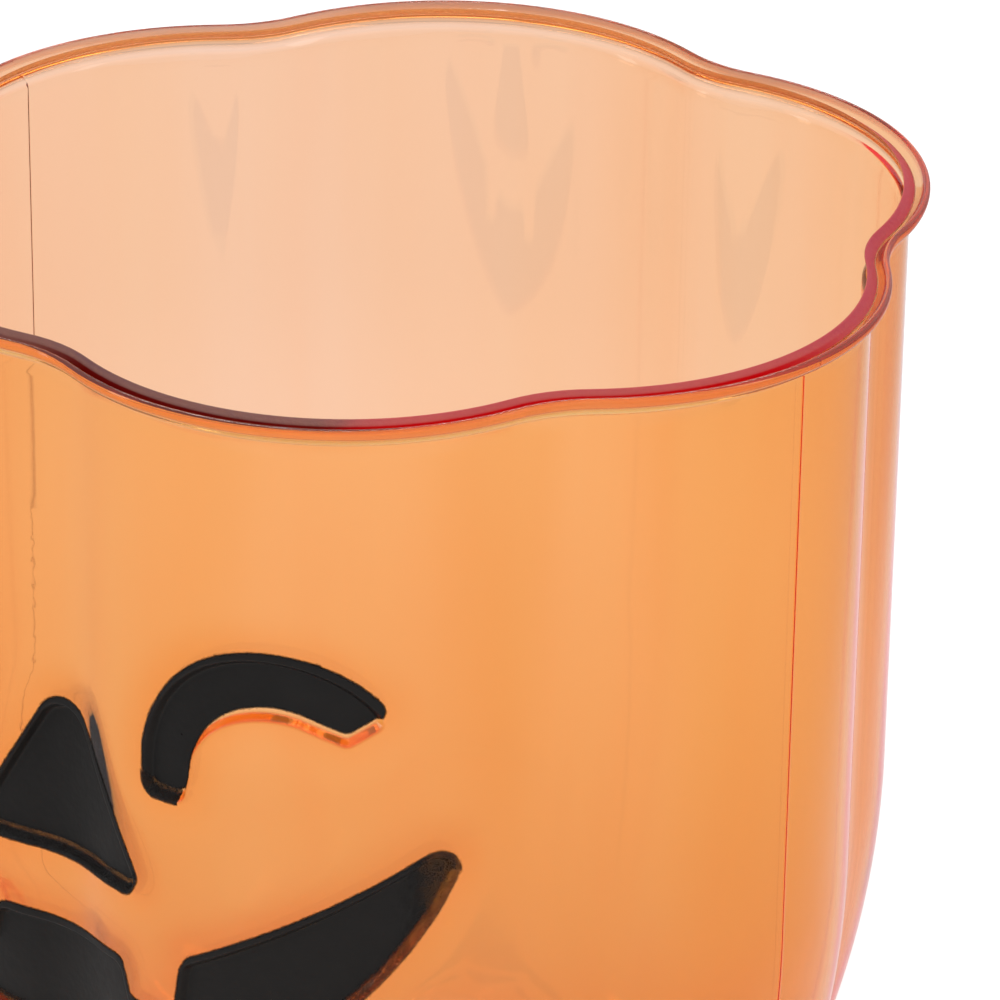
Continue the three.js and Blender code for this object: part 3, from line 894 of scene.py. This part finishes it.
# The rolled edge has a thin diffuse layer over the clear plastic, a little scatter whose
# colour is painted light: crimson at the front and pale pink at the back, for light caught
# in the lip.
roll_mask = shade.node("ShaderNodeAttribute", {"attribute_name": "roll"}, output="Fac")
caught_light_colour = shade.node(
    "ShaderNodeMix", {"data_type": "RGBA"},
    {"Factor": away, 6: (0.85, 0.13, 0.06, 1), 7: (0.95, 0.78, 0.7, 1)}, output=2
)
caught_light = shade.node("ShaderNodeBsdfPrincipled", {}, {
    "Base Color": caught_light_colour,
    "Roughness": 0.45,
    "Specular IOR Level": 0.3,
})
body = shade.node("ShaderNodeMixShader", {}, {
    "Fac": roll_mask * (0.16 + away * 0.39 + piped_light_side * 0.14), 1: body, 2: caught_light
})

# The paint is black from inside the cup too, where it is seen through the plastic
edge = shade.node("ShaderNodeAttribute", {"attribute_name": "edge"}, output="Fac")
spatter = shade.node("ShaderNodeTexNoise", {}, {"Vector": place, "Scale": 11000, "Detail": 1})
under_paint = shade.node("ShaderNodeMapRange", {}, {
    "Value": edge + (spatter - 0.5) * 0.3,
    "From Min": -0.08, "From Max": 0.08, "To Min": 1.0, "To Max": 0.0
})
black = shade.node("ShaderNodeBsdfPrincipled", {}, {
    "Base Color": (0.012, 0.007, 0.006, 1),
    "Roughness": 0.5,
    "Specular IOR Level": 0.0,
})
body = shade.node("ShaderNodeMixShader", {}, {"Fac": under_paint, 1: body, 2: black})

# The dye, and a shadow that lets most of the light through
dye = shade.node("ShaderNodeVolumeAbsorption", {}, {"Color": DYE_COLOUR, "Density": DYE_DENSITY})
clear = shade.node("ShaderNodeBsdfTransparent", {}, {"Color": (0.97, 0.95, 0.93, 1)})
shadow = shade.node("ShaderNodeLightPath", output="Is Shadow Ray")
surface = shade.node("ShaderNodeMixShader", {}, {"Fac": shadow, 1: body, 2: clear})
shade.node("ShaderNodeOutputMaterial", {}, {"Surface": surface, "Volume": dye})
shell.data.materials.append(plastic)
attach(shell, "root")
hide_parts("cup_body")


# The face's black: spray paint through a mask, on the four sunk floors and the bevels
# beside and above them. It came slantwise from below, so it stops short of the lower
# edges, and it thins out at the corners of the smile.
PAINT_GAP = 0.012
PAINT_THICKNESS = 0.03
PAINT_FADE = 0.45
paint, shade = new_material("black_paint")
place = shade.node("ShaderNodeTexCoord", output="Object")
edge = shade.node("ShaderNodeAttribute", {"attribute_name": "edge"}, output="Fac")
speckle = shade.node("ShaderNodeTexNoise", {}, {"Vector": place, "Scale": 11000, "Detail": 1})
drift = shade.node("ShaderNodeTexNoise", {}, {"Vector": place, "Scale": 500, "Detail": 3})
cover = 0.5 - edge * 2.4 + (speckle - 0.5) * 1.3 + (drift - 0.5) * 0.4
pinholes = shade.node(
    "ShaderNodeTexVoronoi", {}, {"Vector": place, "Scale": 150}, output="Distance"
)
solid = shade.node("ShaderNodeMapRange", {}, {
    "Value": cover, "From Min": 0.2, "From Max": 0.8, "To Min": 0.0, "To Max": 1.0
})
holes = shade.node("ShaderNodeMapRange", {}, {
    "Value": pinholes, "From Min": 0.011, "From Max": 0.02, "To Min": 0.0, "To Max": 1.0
})
orange_peel = shade.node("ShaderNodeTexNoise", {}, {"Vector": place, "Scale": 1400, "Detail": 3})
bump = shade.node(
    "ShaderNodeBump", {}, {"Height": orange_peel, "Distance": 0.00006, "Strength": 0.5}
)
colour = shade.node(
    "ShaderNodeMix", {"data_type": "RGBA"},
    {"Factor": drift, 6: (0.009, 0.0075, 0.007, 1), 7: (0.013, 0.0115, 0.011, 1)}, output=2
)
body = shade.node("ShaderNodeBsdfPrincipled", {}, {
    "Base Color": colour,
    "Roughness": 0.36 + orange_peel * 0.12,
    "IOR": 1.45,
    "Specular IOR Level": 0.22,
    "Alpha": solid * holes,
    "Normal": bump,
})
shade.node("ShaderNodeOutputMaterial", {}, {"Surface": body})

flat_angles = angle_at(flat_points[:, 0])
flat_heights = CUP_HEIGHT + flat_points[:, 1]
skin = outer_face_point(flat_points)
skin_out = skin_normal(flat_angles, flat_heights)
for feature, border in paint_borders.items():
    chosen = flat_triangles[border[flat_triangles].min(1) < PAINT_FADE]
    used, renumbered = np.unique(chosen, return_inverse=True)
    triangles = renumbered.reshape(-1, 3)
    count = len(used)
    top = skin[used] + skin_out[used] * (PAINT_GAP + PAINT_THICKNESS)
    bottom = skin[used] + skin_out[used] * PAINT_GAP
    polygons = [tuple(t) for t in triangles]
    polygons += [tuple(t[::-1] + count) for t in triangles]
    sides = {(a, b) for t in triangles for a, b in zip(t, np.roll(t, -1))}
    polygons += [(b, a, a + count, b + count) for a, b in sides if (b, a) not in sides]
    coat = make_mesh(feature + "_coat", np.concatenate([top, bottom]), polygons)
    edge_data = coat.data.attributes.new("edge", "FLOAT", "POINT")
    edge_data.data.foreach_set("value", np.tile(border[used], 2))
    coat.data.materials.append(paint)
    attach(coat, "root")
    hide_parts(feature + "_paint")


# The studio: a white floor in a white room, with a soft lamp overhead, two behind the cup
# and one at each side. Floor and room are white where they are seen directly or through
# the plastic. In reflections the floor has painted shade at the sides and a painted pool of
# light, a patch that glows.
floor_mesh = bpy.data.meshes.new("floor")
FLOOR_HALF = 3.0
floor_mesh.from_pydata(
    [(x * FLOOR_HALF, y * FLOOR_HALF, 0) for x, y in ((-1, -1), (1, -1), (1, 1), (-1, 1))],
    [], [(0, 1, 2, 3)],
)
floor = bpy.data.objects.new("floor", floor_mesh)
bpy.context.scene.collection.objects.link(floor)
LIGHT_POOL_PLACE = (-0.086, 0.097, 0)
WHITE = (0.9, 0.9, 0.9, 1)
REFLECTED_SHADE = (0.4, 0.4, 0.4, 1)
floor_white, shade = new_material("floor_white")
seen = shade.node("ShaderNodeLightPath", output="Is Camera Ray")
mirrored = shade.node("ShaderNodeLightPath", output="Is Glossy Ray")
through = shade.node("ShaderNodeLightPath", output="Is Transmission Ray")
place = shade.node("ShaderNodeTexCoord", output="Object")
across = shade.node("ShaderNodeVectorMath", {"operation": "DOT_PRODUCT"}, {
    0: place, 1: BACK_RIGHT
}, output=1)
# Painted shade: in reflections only, the floor is darker to either side of the cup
side = shade.node("ShaderNodeMapRange", {"interpolation_type": "SMOOTHSTEP"}, {
    "Value": across.maths("ABSOLUTE", across),
    "From Min": 0.07, "From Max": 0.16, "To Min": 0.0, "To Max": 1.0,
})
white = shade.node(
    "ShaderNodeMix", {"data_type": "RGBA"},
    {
        "Factor": mirrored * side * (1 - through),
        6: WHITE, 7: REFLECTED_SHADE
    }, output=2
)
diffuse = shade.node("ShaderNodeBsdfDiffuse", {}, {"Color": white})
# A painted pool of light: a patch of the floor that glows in reflections only
from_light_pool = shade.node("ShaderNodeVectorMath", {"operation": "DISTANCE"}, {
    0: place, 1: LIGHT_POOL_PLACE
}, output=1)
light_pool = shade.node("ShaderNodeMapRange", {"interpolation_type": "SMOOTHSTEP"}, {
    "Value": from_light_pool, "From Min": 0.03, "From Max": 0.09, "To Min": 0.05, "To Max": 0.0
})
glow = shade.node("ShaderNodeEmission", {}, {
    "Color": (1, 1, 1, 1), "Strength": seen * 0.25 + mirrored * light_pool
})
both = shade.node("ShaderNodeAddShader", {}, {0: diffuse, 1: glow})
shade.node("ShaderNodeOutputMaterial", {}, {"Surface": both})
floor_mesh.materials.append(floor_white)

world = bpy.data.worlds.new("studio")
bpy.context.scene.world = world
world.use_nodes = True
world.node_tree.nodes.clear()
shade = Shade(world.node_tree)
seen = shade.node("ShaderNodeLightPath", output="Is Camera Ray")
mirrored = shade.node("ShaderNodeLightPath", output="Is Glossy Ray")
room = shade.node("ShaderNodeBackground", {}, {
    "Color": (1, 1, 1, 1), "Strength": 0.68 + seen * 0.32 + mirrored * 0.12
})
shade.node("ShaderNodeOutputWorld", {}, {"Surface": room})


def soft_lamp(name, place, aim, width, power):
    data = bpy.data.lights.new(name, "AREA")
    data.shape = "RECTANGLE"
    data.size = width[0]
    data.size_y = width[1]
    data.energy = power
    lamp = bpy.data.objects.new(name, data)
    lamp.location = place
    lamp.rotation_euler = (Vector(aim) - Vector(place)).to_track_quat("-Z", "Y").to_euler()
    bpy.context.scene.collection.objects.link(lamp)
    return lamp


soft_lamp("overhead_softbox", (-0.03, 0.03, 0.95), (0, 0, 0.05), (0.34, 0.16), 1.0)
soft_lamp("left_softbox", (-0.5, -0.6, 0.22), (0, 0, 0.05), (0.12, 0.4), 0.3)
soft_lamp("far_left_softbox", (-0.45, 0.248, 0.8), (0, 0, 0.1), (0.15, 0.3), 1.0)
soft_lamp("far_right_softbox", (-0.194, 0.476, 0.8), (0, 0, 0.1), (0.15, 0.3), 1.0)
soft_lamp("side_softbox", (0.9, 0.3, 0.6), (0, 0, 0.06), (0.2, 0.5), 0.5)

# The camera stands where the photograph's did: above the mouth, to the right of the face
CAMERA_PLACE = Vector((0.36751, -0.40107, 0.33507))
CAMERA_AZIMUTH = math.radians(41.5581)
CAMERA_ELEVATION = math.radians(25.8064)
CAMERA_ROLL = math.radians(0.7322)
CAMERA_LENS = 252.95
camera_data = bpy.data.cameras.new("camera")
camera_data.lens = CAMERA_LENS
camera_data.sensor_width = 36.0
camera_data.clip_start = 0.01
camera_data.clip_end = 20.0
camera = bpy.data.objects.new("camera", camera_data)
back = Vector((
    math.sin(CAMERA_AZIMUTH) * math.cos(CAMERA_ELEVATION),
    -math.cos(CAMERA_AZIMUTH) * math.cos(CAMERA_ELEVATION),
    math.sin(CAMERA_ELEVATION),
))
right = Vector((math.cos(CAMERA_AZIMUTH), math.sin(CAMERA_AZIMUTH), 0))
up = back.cross(right)
rolled_right = right * math.cos(CAMERA_ROLL) + up * math.sin(CAMERA_ROLL)
rolled_up = up * math.cos(CAMERA_ROLL) - right * math.sin(CAMERA_ROLL)
turn = Matrix((rolled_right, rolled_up, back)).transposed()
camera.matrix_world = Matrix.Translation(CAMERA_PLACE) @ turn.to_4x4()
bpy.context.scene.collection.objects.link(camera)
bpy.context.scene.camera = camera

bpy.context.scene.view_settings.view_transform = "Standard"

# Light is caught between the lip's skins for many turns before it comes out again
cycles = bpy.context.scene.cycles
cycles.max_bounces = 128
cycles.glossy_bounces = 100
cycles.transmission_bounces = 100
cycles.transparent_max_bounces = 24
